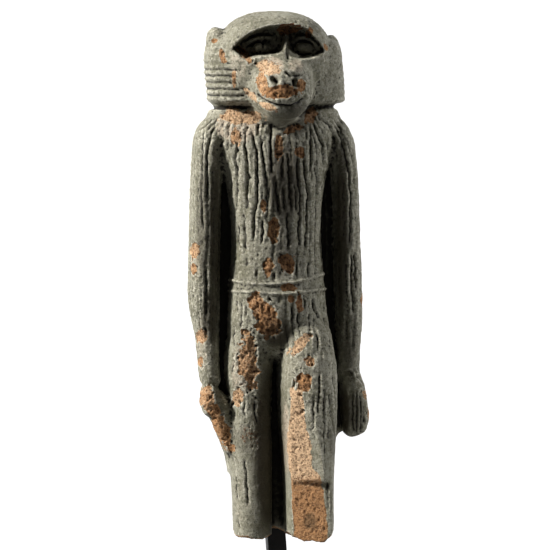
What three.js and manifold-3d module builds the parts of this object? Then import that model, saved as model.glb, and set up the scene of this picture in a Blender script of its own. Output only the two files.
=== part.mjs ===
// A small glazed faience amulet of a striding baboon, broken off above the ankles, held up by a
// square black bar that stands in a plain black foot. Millimetres, +Z up. The figure faces -Y,
// so the viewer's left is -X. The origin is the centre of the foot's underside.

import * as THREE from 'three';
import { mergeVertices } from 'three/addons/utils/BufferGeometryUtils.js';
import Module from 'manifold-3d';

const wasm = await Module();
wasm.setup();

// Stand: the foot block, the bar, and how far the bar reaches into the figure.
const FOOT_WIDTH = 46;
const FOOT_HEIGHT = 14;
const FOOT_BEVEL = 1;
const BAR_WIDTH = 3;
const BAR_SHOWN = 16;
const BAR_IN_FIGURE = 9;
const BAR_IN_FOOT = 9;
const BAR_LEAN = THREE.MathUtils.degToRad(4.5);
const CLEARANCE = 0.3;

// Where the figure stands in the part: the height of its lowest point, and the place of the bar
// in the figure's underside. All other figure sizes are measured from its lowest point upwards.
const FIGURE_Z = FOOT_HEIGHT + BAR_SHOWN;
const BAR_X = 0.9;
const BAR_Y = 4.7;

// Heights on the figure.
const CROWN_Z = 84.5;
const EYE_Z = 78.5;
const NOSTRIL_Z = 73.6;
const MOUTH_Z = 69.7;
const MANE_Z = 69.4;
const SHOULDER_Z = 66.3;
const BELT_Z = 40.7;
const CROTCH_Z = 31;
const WRIST_Z = 27;
const HAND_Z = 15.8;

// Half widths and depths. The back plane is the plain back of the pillar.
const MANE_HALF = 10.9;
const BACK_Y = 8;
const PILLAR_HALF = 4.5;
const PILLAR_Y = 4.2;
const WEB_Y = 1.6;

// Relief of the carved hair: depth of the ridges on the mane and of the flutes on body and limbs.
const MANE_RIDGES = 9;
const MANE_RIDGE_DEPTH = 0.45;
const BODY_FLUTE_DEPTH = 0.4;
const LIMB_FLUTE_DEPTH = 0.3;

const FRONT = -Math.PI / 2;
const WELD = 1e-4;

// A closed geometry as a solid that can be joined and cut.
function solid(geometry) {
  const bare = geometry.clone();
  bare.deleteAttribute('normal');
  bare.deleteAttribute('uv');
  const welded = mergeVertices(bare, WELD);
  const vertProperties = new Float32Array(welded.attributes.position.array);
  const triVerts = new Uint32Array(welded.index.array);
  return new wasm.Manifold(new wasm.Mesh({ numProp: 3, vertProperties, triVerts }));
}

// A solid back as a geometry, flat shaded.
function geometryOf(body) {
  const { vertProperties, triVerts, numProp } = body.getMesh();
  const places = new Float32Array((vertProperties.length / numProp) * 3);
  for (let i = 0; i < places.length / 3; i += 1) {
    places.set(vertProperties.subarray(i * numProp, i * numProp + 3), i * 3);
  }
  const geometry = new THREE.BufferGeometry();
  geometry.setAttribute('position', new THREE.BufferAttribute(places, 3));
  geometry.setIndex(new THREE.BufferAttribute(new Uint32Array(triVerts), 1));
  geometry.computeVertexNormals();
  return geometry;
}

// A smooth curve through [place, value] stops, level beyond the first and the last.
function run(...stops) {
  const slope = (i) => {
    const before = stops[Math.max(i - 1, 0)];
    const after = stops[Math.min(i + 1, stops.length - 1)];
    return (after[1] - before[1]) / (after[0] - before[0]);
  };
  return (place) => {
    const last = stops.length - 1;
    if (place <= stops[0][0]) return stops[0][1];
    if (place >= stops[last][0]) return stops[last][1];
    const i = stops.findIndex((stop) => stop[0] > place) - 1;
    const step = stops[i + 1][0] - stops[i][0];
    const t = (place - stops[i][0]) / step;
    const lift = t * t * (3 - 2 * t);
    const leave = t * (1 - t) * (1 - t) * step * slope(i);
    const arrive = t * t * (t - 1) * step * slope(i + 1);
    return stops[i][1] + lift * (stops[i + 1][1] - stops[i][1]) + leave + arrive;
  };
}

const fixed = (value) => () => value;

// A body whose level sections are rounded rectangles. x and y give the middle of a section at
// each height, w and d its half width and half depth, and `square` how boxy it is. `crowd` draws
// the columns together at the front, and `relief` lifts the surface by column and height.
function lofted({ from, to, around, levels, x, y, w, d, square = 2.2, crowd = 0, relief }) {
  const geometry = new THREE.CylinderGeometry(1, 1, 1, around, levels);
  geometry.rotateX(Math.PI / 2);
  const point = geometry.attributes.position;
  const power = 2 / square;
  for (let i = 0; i < point.count; i += 1) {
    const z = from + (to - from) * (point.getZ(i) + 0.5);
    const reach = Math.hypot(point.getX(i), point.getY(i));
    const turn = Math.atan2(point.getY(i), point.getX(i));
    const angle = turn - crowd * Math.sin(turn - FRONT);
    const side = Math.sign(Math.cos(angle)) * Math.abs(Math.cos(angle)) ** power;
    const ahead = Math.sign(Math.sin(angle)) * Math.abs(Math.sin(angle)) ** power;
    const lift = relief ? relief(turn, z) : 0;
    const wide = reach * (w(z) * side + lift * Math.cos(angle));
    const deep = reach * (d(z) * ahead + lift * Math.sin(angle));
    point.setXYZ(i, x(z) + wide, y(z) + deep, z);
  }
  return geometry;
}

// An egg: a ball stretched to three half sizes at a place. square above 2 makes it boxier.
function egg(place, half, around = 16, square = 2) {
  const geometry = new THREE.SphereGeometry(1, around, around / 2);
  geometry.rotateX(Math.PI / 2);
  const point = geometry.attributes.position;
  for (let i = 0; i < point.count; i += 1) {
    const [x, y, z] = [point.getX(i), point.getY(i), point.getZ(i)];
    const sum = Math.abs(x) ** square + Math.abs(y) ** square + Math.abs(z) ** square;
    const swell = sum ** (-1 / square);
    point.setXYZ(i, x * swell, y * swell, z * swell);
  }
  return geometry.scale(...half).translate(...place);
}

// A box to cut a flat break with: the middle of its inner face lies at `place`, turned.
function breakFace(size, place, turn) {
  const geometry = new THREE.BoxGeometry(...size).translate(0, -size[1] / 2, 0);
  return geometry.rotateX(turn[0]).rotateY(turn[1]).rotateZ(turn[2]).translate(...place);
}

// Flutes that run down a body: every other column of it is a groove.
function flutes(around, depth) {
  return (turn) => depth * (Math.cos((turn - FRONT) * (around / 2)) - 1) / 2;
}

// Chest, waist, belly and hips in one, with the long hair cut as flutes.
function torso() {
  const around = 36;
  const hair = flutes(around, BODY_FLUTE_DEPTH);
  return solid(lofted({
    from: 28,
    to: 69.8,
    around,
    levels: 20,
    x: run([28, 0.9], [38, 0.4], [49, 0.3], [60, 0], [66, -0.2], [70, -0.1]),
    y: run([25, 0.2], [38, -0.4], [49, -0.1], [60, -0.4], [67, 0], [70, 0.6]),
    w: run([28, 7.4], [31, 8.3], [38, 7.8], [42, 7.5], [49, 7.2], [54, 7.5], [58, 8.2],
      [61, 9.1], [64, 10], [SHOULDER_Z, 10.8], [68.2, 10.6], [69.8, 9.4]),
    d: run([28, 3.6], [31, 5.2], [34, 6], [38, 6.2], [42, 5.7], [49, 5.8], [58, 6.4], [64, 6],
      [68, 4.9], [69.8, 4.2]),
    square: 2.4,
    crowd: 0.55,
    relief: (turn, z) => hair(turn) * (z > CROTCH_Z + 3 ? 1 : 0),
  }));
}

// The plain belt that the flutes stop at.
function belt() {
  const half = 1.1;
  return solid(lofted({
    from: BELT_Z - half,
    to: BELT_Z + half,
    around: 36,
    levels: 1,
    x: fixed(0.4),
    y: fixed(-0.3),
    w: fixed(7.75),
    d: fixed(5.95),
    square: 2.4,
    crowd: 0.55,
  }));
}

// An arm that hangs at the side. side is -1 on the viewer's left and 1 on the viewer's right.
function arm(side, centre, half) {
  const around = 16;
  return solid(lofted({
    from: WRIST_Z - 3,
    to: 67.6,
    around,
    levels: 14,
    x: (z) => side * centre(z),
    y: run([24, 0.6], [40, 0.9], [60, 0.9], [67, 0.6]),
    w: (z) => half(z) * Math.sqrt(Math.max(0.02, 1 - (Math.max(z - 63.4, 0) / 4.3) ** 2)),
    d: run([24, 2.6], [30, 3], [40, 3.6], [56, 4], [63, 4.7], [66, 4], [67.6, 2.4]),
    relief: flutes(around, LIMB_FLUTE_DEPTH),
  }));
}

// Viewer's left arm, narrow at the wrist, with its broken knuckle and the scar of the lost hand.
function brokenHandArm() {
  const centre = run([24, 10.1], [27, 10.5], [32, 10.8], [38, 11.3], [48, 11.2], [56, 11],
    [63, 10.6], [67, 10.2]);
  const half = run([24, 1.9], [27, 1.7], [32, 1.9], [38, 2.5], [48, 2.5], [56, 2.5], [67, 2.5]);
  const knuckle = egg([-10.5, -0.2, 22.4], [1.7, 2.4, 3]);
  const scar = lofted({
    from: 13.6,
    to: 24,
    around: 10,
    levels: 5,
    x: run([13.6, -7.3], [18, -8.4], [21, -9.3], [24, -9.6]),
    y: fixed(0.4),
    w: run([13.6, 0.5], [15, 0.9], [18, 1.5], [21, 1.8], [24, 1.6]),
    d: run([13.6, 1.8], [18, 2.4], [24, 2.6]),
    square: 3,
  });
  return arm(-1, centre, half).add(solid(knuckle)).add(solid(scar));
}

// Viewer's right arm with its whole hand, the fingers pointing down.
function wholeHandArm() {
  const centre = run([24, 12.1], [27, 12.1], [34, 12.3], [40, 12.1], [48, 11.9], [56, 11.6],
    [63, 10.8], [67, 9.9]);
  const half = run([24, 1.9], [30, 1.9], [38, 2.3], [48, 2.2], [56, 2.2], [67, 2.4]);
  const around = 14;
  const hand = lofted({
    from: HAND_Z,
    to: 27.6,
    around,
    levels: 7,
    x: run([HAND_Z, 12.7], [18, 13.2], [22, 12.9], [27.6, 12.2]),
    y: fixed(-0.2),
    w: run([HAND_Z, 1], [17, 1.9], [19, 2.2], [22, 2.2], [25, 1.9], [27.6, 1.3]),
    d: run([HAND_Z, 1.2], [17, 2.4], [20, 2.9], [25, 2.8], [27.6, 2]),
    relief: (turn, z) => (z < 25 ? flutes(around, LIMB_FLUTE_DEPTH)(turn) : 0),
  });
  return arm(1, centre, half).add(solid(hand));
}

// The wall that joins arms and body behind the gaps, seen from the front as one outline. It ends
// in a curve under each hand.
function sideWeb() {
  const outline = new THREE.Shape();
  outline.moveTo(-7, 10);
  outline.quadraticCurveTo(-7.4, 13, -8.2, 14.6);
  outline.lineTo(-9.8, 22);
  outline.lineTo(-10.6, 34);
  outline.lineTo(-11, SHOULDER_Z - 6);
  outline.lineTo(-9, SHOULDER_Z);
  outline.lineTo(9, SHOULDER_Z);
  outline.lineTo(11, SHOULDER_Z - 6);
  outline.lineTo(11.6, 34);
  outline.lineTo(12, HAND_Z + 1);
  outline.quadraticCurveTo(9.8, HAND_Z - 0.6, 9, 10);
  outline.closePath();
  const depth = PILLAR_Y + 0.6 - WEB_Y;
  const geometry = new THREE.ExtrudeGeometry(outline, { depth, bevelEnabled: false, curveSegments: 5 });
  return solid(geometry.rotateX(Math.PI / 2).translate(0, WEB_Y + depth, 0));
}

// The plain pillar down the back.
function backPillar() {
  const corner = 0.8;
  const outline = new THREE.Shape();
  outline.moveTo(-PILLAR_HALF, PILLAR_Y - 3);
  outline.lineTo(PILLAR_HALF, PILLAR_Y - 3);
  outline.lineTo(PILLAR_HALF, BACK_Y - corner);
  outline.lineTo(PILLAR_HALF - corner, BACK_Y);
  outline.lineTo(-PILLAR_HALF + corner, BACK_Y);
  outline.lineTo(-PILLAR_HALF, BACK_Y - corner);
  outline.closePath();
  const depth = MANE_Z + 3;
  return solid(new THREE.ExtrudeGeometry(outline, { depth, bevelEnabled: false }).translate(0, 0, -1));
}

// Viewer's left leg, the straight one that bears the weight.
function standingLeg() {
  return solid(lofted({
    from: -1,
    to: 36,
    around: 20,
    levels: 10,
    x: run([0, -3.5], [10, -3.7], [20, -3.9], [28, -4.2], [36, -3.6]),
    y: fixed(0.4),
    w: run([0, 3], [6, 3.1], [14, 3.3], [19, 3.2], [28, 3.8], [36, 3.4]),
    d: run([0, 4.2], [10, 4.3], [20, 4.8], [28, 5.4], [36, 5.4]),
    square: 2.6,
  }));
}

// Viewer's right leg, set forward, with the wall behind it that joins it to the pillar, and its
// shin broken away in two flat faces.
function forwardLeg() {
  const around = 22;
  const leg = solid(lofted({
    from: -1,
    to: 37,
    around,
    levels: 12,
    x: run([0, 5.1], [10, 5], [20, 4.9], [28, 4.9], [37, 4.4]),
    y: run([0, -3.4], [10, -3.2], [20, -2.8], [28, -1.9], [37, 0]),
    w: run([0, 3.6], [10, 3.8], [20, 4.5], [28, 4.6], [37, 3.6]),
    d: run([0, 8.4], [10, 8.2], [20, 7.6], [28, 6.9], [37, 5.6]),
    square: 2.6,
    crowd: 0.3,
    relief: flutes(around, LIMB_FLUTE_DEPTH),
  }));
  const upperBreak = breakFace([14, 6, 20], [3.2, -9.3, 16.6], [-0.06, 0, -0.6]);
  const lowerBreak = breakFace([16, 6, 12], [4.4, -9.1, 3.4], [0.05, 0, -0.42]);
  return leg.subtract(solid(upperBreak)).subtract(solid(lowerBreak));
}

// The mane with its level ridges, cut off flat above the shoulders.
function mane() {
  const top = 81.2;
  const rows = 2 * MANE_RIDGES;
  const levels = rows + 4;
  const rise = (top - MANE_Z) / levels;
  const ridged = MANE_Z + rows * rise;
  const relief = (turn, z) => {
    const row = Math.round((z - MANE_Z) / rise);
    return z < ridged && row % 2 === 1 ? -MANE_RIDGE_DEPTH : 0;
  };
  return solid(lofted({
    from: MANE_Z,
    to: top,
    around: 32,
    levels,
    x: run([MANE_Z, 0.4], [72, 0.3], [75, 0], [top, -0.2]),
    y: run([MANE_Z, 0.9], [76, 0.8], [top, 1]),
    w: run([MANE_Z, MANE_HALF], [71, MANE_HALF + 0.2], [78.4, MANE_HALF], [80, 9.8],
      [top, 8.2]),
    d: run([MANE_Z, 7], [73, 7.4], [77, 7.3], [80, 6.4], [top, 5.2]),
    square: 3,
    relief,
  }));
}

// The smooth cap of the skull, which runs forward as a hood over the eyes.
function crown() {
  const middle = 77.2;
  return solid(egg([-0.2, -0.8, middle], [9.1, 8.8, CROWN_Z - middle], 26, 2.4));
}

// The muzzle: lofted forwards from the cheeks, with a blunt ball of a nose and chin at its end.
function muzzle() {
  const cheeks = lofted({
    from: 3,
    to: 11.5,
    around: 20,
    levels: 6,
    x: fixed(0),
    y: run([3, 74], [7, 74], [9, 73.4], [11.5, 72.2]),
    w: run([3, 7], [6, 6.6], [9, 5.5], [11.5, 4.4]),
    d: run([3, 7], [6, 7], [9, 6.1], [11.5, 4.7]),
  });
  const nose = egg([0, -9.9, 72.1], [4.6, 4.4, 4.9], 22, 2.5);
  return solid(cheeks.rotateX(Math.PI / 2)).add(solid(nose));
}

// The parts of the face cut into the head or set on it.
function faced(head) {
  const eyeGap = 3.7;
  const bridge = egg([0, 0, 0], [1.1, 4.6, 1.4], 12).rotateX(0.66).translate(0, -9.4, 78.3);
  const hood = egg([0.1, -10.6, 79.1], [6.7, 3, 2.7], 18, 2.2);
  let face = head.subtract(solid(hood));
  for (const side of [-1, 1]) {
    const socket = egg([side * eyeGap, -9.3, EYE_Z + 0.2], [3, 2.6, 1.9], 14);
    face = face.subtract(solid(socket));
    face = face.add(solid(egg([side * eyeGap, -7.2, EYE_Z], [1.7, 1.2, 1], 10)));
  }
  face = face.add(solid(bridge));
  for (const side of [-1, 1]) {
    const nostril = egg([side * 1.8, -13.9, NOSTRIL_Z], [0.7, 1.3, 0.8], 8);
    face = face.subtract(solid(nostril));
  }
  const mouth = lofted({
    from: -4.6,
    to: 4.6,
    around: 6,
    levels: 8,
    x: (s) => -(MOUTH_Z + 1.7 * (s / 4.6) ** 2),
    y: (s) => -13.9 + 3.6 * (s / 4.6) ** 2,
    w: fixed(0.3),
    d: fixed(0.9),
  });
  return face.subtract(solid(mouth.rotateY(Math.PI / 2)));
}

// Round ears that stand up where cap and mane meet. The viewer's right one is worn down.
function ears() {
  const whole = solid(egg([-9.5, 0.4, 80.2], [1.5, 2.4, 1.9], 12));
  const worn = solid(egg([9.2, 0.4, 78.9], [1.4, 2.2, 1.8], 12));
  return whole.add(worn);
}

// The uneven break under the legs: it rolls across the two legs and climbs at the outer side.
function breakHeight(x, y) {
  const legToLeg = 8.6;
  const underLeg = -3.8;
  const across = 0.5 - 0.5 * Math.cos((2 * Math.PI * (x - underLeg)) / legToLeg);
  const climb = 0.85 * Math.max(x - 6.4, 0);
  return Math.max(0, Math.min(across, 1) + climb * 0.5 + 0.2 * Math.sin(0.8 * y));
}

function brokenEnd(body) {
  const slab = new THREE.BoxGeometry(26, 26, 6, 20, 10, 1);
  const point = slab.attributes.position;
  for (let i = 0; i < point.count; i += 1) {
    const top = point.getZ(i) > 0;
    point.setZ(i, top ? breakHeight(point.getX(i), point.getY(i)) : -6);
  }
  return body.subtract(solid(slab));
}

// The bar's own frame: at the figure's underside, leaning so that its lower end is to the right.
function onBar(geometry) {
  return geometry.rotateY(-BAR_LEAN).translate(BAR_X, BAR_Y, 0);
}

function figure() {
  let head = mane().add(crown()).add(ears()).add(muzzle());
  head = faced(head);
  const parts = [head, belt(), brokenHandArm(), wholeHandArm(), sideWeb(), backPillar(),
    standingLeg(), forwardLeg()];
  let body = torso();
  for (const part of parts) {
    body = body.add(part);
  }
  body = brokenEnd(body);
  const hole = BAR_WIDTH + 2 * CLEARANCE;
  const depth = BAR_IN_FIGURE + CLEARANCE;
  const socket = new THREE.BoxGeometry(hole, hole, 2 * depth);
  return body.subtract(solid(onBar(socket)));
}

// The square bar, `slack` wider all round and longer at its lower end.
function bar(slack = 0) {
  const width = BAR_WIDTH + 2 * slack;
  const length = BAR_IN_FIGURE + BAR_SHOWN / Math.cos(BAR_LEAN) + BAR_IN_FOOT + slack;
  const geometry = new THREE.BoxGeometry(width, width, length);
  return onBar(geometry.translate(0, 0, BAR_IN_FIGURE - length / 2));
}

// A square block with a small bevel round its edges.
function footBlock() {
  const half = FOOT_WIDTH / 2 - FOOT_BEVEL;
  const outline = new THREE.Shape();
  outline.moveTo(-half, -half);
  outline.lineTo(half, -half);
  outline.lineTo(half, half);
  outline.lineTo(-half, half);
  outline.closePath();
  const geometry = new THREE.ExtrudeGeometry(outline, {
    depth: FOOT_HEIGHT - 2 * FOOT_BEVEL,
    bevelThickness: FOOT_BEVEL,
    bevelSize: FOOT_BEVEL,
    bevelSegments: 2,
  });
  return geometry.translate(0, 0, FOOT_BEVEL);
}

// How far the figure stands from the middle of the foot, so that the bar enters the foot there.
const aside = new THREE.Vector3(-BAR_X - BAR_SHOWN * Math.tan(BAR_LEAN), -BAR_Y, FIGURE_Z);

function foot() {
  const hole = bar(CLEARANCE).translate(aside.x, aside.y, aside.z);
  return solid(footBlock()).subtract(solid(hole));
}

function named(name, geometry, finish) {
  const mesh = new THREE.Mesh(geometry, new THREE.MeshStandardMaterial(finish));
  mesh.name = name;
  return mesh;
}

const faience = { color: 0x6f7464, roughness: 0.62, metalness: 0 };
const blackPaint = { color: 0x0c0c0d, roughness: 0.5, metalness: 0.1 };

const held = new THREE.Group();
held.add(named('monkey_figure', geometryOf(figure()), faience));
held.add(named('display_rod', bar(), blackPaint));
held.position.copy(aside);

const amulet = new THREE.Group();
amulet.add(held);
amulet.add(named('display_foot', geometryOf(foot()), blackPaint));

export default amulet;
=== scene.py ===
"""The finished look of a broken faience amulet: a striding baboon held up on a square bar.

The figure is shaped in its own frame, in millimetres: the lowest point of its broken legs is at
height 0, it faces -Y, and the viewer's left is -X. It is carved there, painted by vertex
attributes, and then set in its place over the foot, in metres.
"""

import logging
from dataclasses import dataclass
from enum import Enum
from math import cos, pi, radians, sin, tan

import bpy
import numpy as np
from mathutils import Matrix, Vector


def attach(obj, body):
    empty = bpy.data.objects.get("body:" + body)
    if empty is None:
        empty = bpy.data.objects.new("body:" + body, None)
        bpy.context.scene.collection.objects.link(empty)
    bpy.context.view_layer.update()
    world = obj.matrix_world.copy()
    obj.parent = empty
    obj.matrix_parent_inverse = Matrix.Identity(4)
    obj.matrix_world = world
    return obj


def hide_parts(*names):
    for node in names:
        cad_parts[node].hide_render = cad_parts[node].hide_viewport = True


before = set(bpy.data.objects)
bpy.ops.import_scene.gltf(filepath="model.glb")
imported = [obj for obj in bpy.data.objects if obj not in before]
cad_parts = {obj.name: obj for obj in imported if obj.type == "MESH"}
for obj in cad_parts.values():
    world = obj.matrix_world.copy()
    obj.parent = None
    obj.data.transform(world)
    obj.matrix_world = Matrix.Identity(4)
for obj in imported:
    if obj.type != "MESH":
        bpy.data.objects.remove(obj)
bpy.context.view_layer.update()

log = logging.getLogger("amulet")

MM = 0.001
Array = np.ndarray


class Node(Enum):
    """The modelled parts that the finished pieces stand for."""

    FIGURE = "monkey_figure"
    BAR = "display_rod"
    FOOT = "display_foot"


class Slot(Enum):
    """The record's material slots."""

    FAIENCE = "faience"
    BAR = "rod_paint"
    FOOT = "foot_paint"


@dataclass(frozen=True)
class Stand:
    """Sizes of the foot and the bar, and where the bar meets the figure, in millimetres."""

    foot_width: float = 46.0
    foot_height: float = 14.0
    foot_bevel: float = 1.0
    bar_width: float = 3.0
    bar_shown: float = 16.0
    bar_in_figure: float = 9.0
    bar_in_foot: float = 9.0
    lean: float = radians(4.5)
    clearance: float = 0.3
    bar_x: float = 0.9
    bar_y: float = 4.7

    @property
    def figure_place(self) -> Vector:
        """Where the figure's own origin stands in the part."""
        aside = self.bar_x + self.bar_shown * tan(self.lean)
        return Vector((-aside, -self.bar_y, self.foot_height + self.bar_shown))


STAND = Stand()


class Run:
    """A smooth curve through (place, value) stops, level beyond the first and the last."""

    def __init__(self, *stops: tuple[float, float]) -> None:
        """Keep the stops and work out the slope at each.

        Args:
            stops: places in rising order, each with its value.
        """
        self.places = np.array([stop[0] for stop in stops])
        self.values = np.array([stop[1] for stop in stops])
        if len(stops) > 1:
            after = np.minimum(np.arange(len(stops)) + 1, len(stops) - 1)
            before = np.maximum(np.arange(len(stops)) - 1, 0)
            rise = self.values[after] - self.values[before]
            self.slopes = rise / (self.places[after] - self.places[before])

    def __call__(self, place: Array | float) -> Array:
        """The curve's value at each place."""
        if len(self.places) == 1:
            return np.full_like(np.asarray(place, float), self.values[0])
        held = np.clip(place, self.places[0], self.places[-1])
        i = np.clip(np.searchsorted(self.places, held, side="right") - 1, 0, len(self.places) - 2)
        step = self.places[i + 1] - self.places[i]
        t = (held - self.places[i]) / step
        lift = t * t * (3 - 2 * t)
        leave = t * (1 - t) ** 2 * step * self.slopes[i]
        arrive = t * t * (t - 1) * step * self.slopes[i + 1]
        return self.values[i] + lift * (self.values[i + 1] - self.values[i]) + leave + arrive


def level(value: float) -> Run:
    """A curve with the same value everywhere."""
    return Run((0.0, value))


def rise(value: Array, low: float, high: float) -> Array:
    """0 below low, 1 above high and a smooth step between them; high may be the smaller."""
    t = np.clip((value - low) / (high - low), 0.0, 1.0)
    return t * t * (3 - 2 * t)


def band(value: Array, low: float, high: float, soft: float) -> Array:
    """1 between low and high, falling smoothly to 0 over `soft` on both sides."""
    return rise(value, low - soft, low + soft) * rise(value, high + soft, high - soft)


class Grain:
    """Smooth random numbers in space, between -1 and 1, the same on every run."""

    SIDE = 32

    def __init__(self, seed: int) -> None:
        """Fill the lattice.

        Args:
            seed: picks the lattice.
        """
        self.lattice = np.random.default_rng(seed).uniform(-1, 1, (self.SIDE,) * 3)

    def __call__(self, points: Array, size: Array | float, octaves: int = 1) -> Array:
        """Random numbers at the points.

        Args:
            points: one place per row.
            size: how wide one swell is, along each axis or along all.
            octaves: how many times a finer copy at half strength is added.

        Returns:
            One number per point.
        """
        total = np.zeros(len(points))
        share = 1.0
        scaled = points / size
        for octave in range(octaves):
            total += share * self._once(scaled + 7.3 * octave)
            scaled = scaled * 2.03
            share *= 0.5
        return total

    def _once(self, scaled: Array) -> Array:
        """One layer of the lattice, smoothly read between its corners."""
        low = np.floor(scaled).astype(int)
        t = scaled - low
        t = t * t * (3 - 2 * t)
        total = np.zeros(len(scaled))
        for corner in range(8):
            bits = np.array([corner & 1, corner >> 1 & 1, corner >> 2 & 1])
            x, y, z = ((low + bits) % self.SIDE).T
            weight = np.prod(np.where(bits, t, 1 - t), axis=1)
            total += weight * self.lattice[x, y, z]
        return total


@dataclass(frozen=True)
class Sight:
    """How the camera sees the figure, and where its points fall in a 550 pixel square picture."""

    azimuth: float = radians(-9.0)
    elevation: float = radians(3.0)
    distance: float = 800.0
    pixels: float = 550.0
    mm_per_pixel: float = 0.16
    target_x: float = -0.35
    target_y: float = -3.0
    target_z: float = 42.3
    sensor: float = 36.0

    @property
    def target(self) -> Vector:
        """The point that the camera looks at, in the figure's frame."""
        return Vector((self.target_x, self.target_y, self.target_z))

    @property
    def outward(self) -> Vector:
        """The direction from the target to the camera."""
        flat = cos(self.elevation)
        return Vector((sin(self.azimuth) * flat, -cos(self.azimuth) * flat, sin(self.elevation)))

    @property
    def lens(self) -> float:
        """The focal length that gives the picture its scale."""
        return self.sensor * self.distance / (self.pixels * self.mm_per_pixel)

    def picture(self, points: Array) -> tuple[Array, Array]:
        """Where points of the figure fall in the picture.

        Args:
            points: places in the figure's frame.

        Returns:
            Pixels from the left edge and from the top edge.
        """
        right = np.array((cos(self.azimuth), sin(self.azimuth), 0.0))
        outward = np.array(self.outward)
        up = np.cross(outward, right)
        offset = points - np.array(self.target)
        scale = self.distance / (self.distance - offset @ outward) / self.mm_per_pixel
        middle = self.pixels / 2
        return middle + offset @ right * scale, middle - offset @ up * scale


SIGHT = Sight()


class Clay:
    """A mesh object and the ways it is worked, its points held in millimetres."""

    def __init__(self, thing: bpy.types.Object) -> None:
        """Take hold of a mesh object."""
        self.thing = thing

    @classmethod
    def ball(cls, name: str, segments: int, rings: int) -> "Clay":
        """A round ball of half size 1 to shape further.

        Args:
            name: the object's name.
            segments: columns round the upright axis.
            rings: rows from the bottom to the top.
        """
        bpy.ops.object.select_all(action="DESELECT")
        bpy.ops.mesh.primitive_uv_sphere_add(segments=segments, ring_count=rings, radius=1.0)
        thing = bpy.context.object
        thing.name = name
        return cls(thing)

    @classmethod
    def box(cls, name: str, size: tuple[float, float, float]) -> "Clay":
        """A box of that size about its own middle."""
        bpy.ops.object.select_all(action="DESELECT")
        bpy.ops.mesh.primitive_cube_add(size=1.0, scale=size)
        bpy.ops.object.transform_apply(location=False, rotation=False, scale=True)
        thing = bpy.context.object
        thing.name = name
        return cls(thing)

    @property
    def points(self) -> Array:
        """Every point of the mesh, one per row."""
        mesh = self.thing.data
        flat = np.empty(len(mesh.vertices) * 3)
        mesh.vertices.foreach_get("co", flat)
        return flat.reshape(-1, 3)

    @points.setter
    def points(self, places: Array) -> None:
        """Move every point to its new place."""
        self.thing.data.vertices.foreach_set("co", np.ascontiguousarray(places).ravel())
        self.thing.data.update()

    @property
    def normals(self) -> Array:
        """The outward direction at every point."""
        mesh = self.thing.data
        flat = np.empty(len(mesh.vertices) * 3)
        mesh.vertex_normals.foreach_get("vector", flat)
        return flat.reshape(-1, 3)

    @property
    def edges(self) -> Array:
        """The two ends of every edge."""
        mesh = self.thing.data
        flat = np.empty(len(mesh.edges) * 2, dtype=np.int32)
        mesh.edges.foreach_get("vertices", flat)
        return flat.reshape(-1, 2)

    def apply(self, kind: str, **settings: object) -> None:
        """Add one modifier and apply it.

        Args:
            kind: the modifier's type.
            settings: its values by name.
        """
        bpy.ops.object.select_all(action="DESELECT")
        self.thing.select_set(True)
        bpy.context.view_layer.objects.active = self.thing
        modifier = self.thing.modifiers.new(kind.title(), kind)
        for name, value in settings.items():
            setattr(modifier, name, value)
        bpy.ops.object.modifier_apply(modifier=modifier.name)

    def remesh(self, size: float) -> None:
        """Replace the mesh by one even skin over everything in it."""
        self.apply("REMESH", mode="VOXEL", voxel_size=size, adaptivity=0.0)

    def smooth(self, share: float, times: int) -> None:
        """Even out the surface."""
        self.apply("SMOOTH", factor=share, iterations=times)

    def join(self, others: list["Clay"]) -> None:
        """Take other pieces of clay into this one."""
        bpy.ops.object.select_all(action="DESELECT")
        for other in others:
            other.thing.select_set(True)
        self.thing.select_set(True)
        bpy.context.view_layer.objects.active = self.thing
        bpy.ops.object.join()

    def spread(self, values: Array, times: int) -> Array:
        """Values at the points, averaged with their neighbours again and again."""
        ends = self.edges
        count = np.bincount(ends.ravel(), minlength=len(values))[:, None]
        table = values.reshape(len(values), -1).astype(float)
        for _ in range(times):
            total = np.zeros_like(table)
            for column in range(table.shape[1]):
                one = table[:, column]
                total[:, column] = np.bincount(ends[:, 0], one[ends[:, 1]], len(one))
                total[:, column] += np.bincount(ends[:, 1], one[ends[:, 0]], len(one))
            table = 0.5 * table + 0.5 * total / np.maximum(count, 1)
        return table.reshape(values.shape)

    def thin(self, triangles: int, plain: Array) -> None:
        """Take triangles away, first of all where the surface is plain.

        Args:
            triangles: how many may be left.
            plain: 0 to 1 for each point, how readily its triangles go.
        """
        held = 2 * len(self.thing.data.polygons)
        if held <= triangles:
            return
        group = self.thing.vertex_groups.new(name="plain")
        steps = np.round(plain * 10).astype(int)
        for step in np.unique(steps):
            group.add(np.nonzero(steps == step)[0].tolist(), step / 10, "REPLACE")
        self.apply("DECIMATE", ratio=triangles / held, vertex_group="plain", vertex_group_factor=1.0)
        self.thing.vertex_groups.clear()

    def mark(self, name: str, values: Array) -> None:
        """Store one number per point as an attribute that a material can read."""
        mesh = self.thing.data
        layer = mesh.attributes.new(name, "FLOAT", "POINT")
        layer.data.foreach_set("value", values.astype(np.float32))


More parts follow.
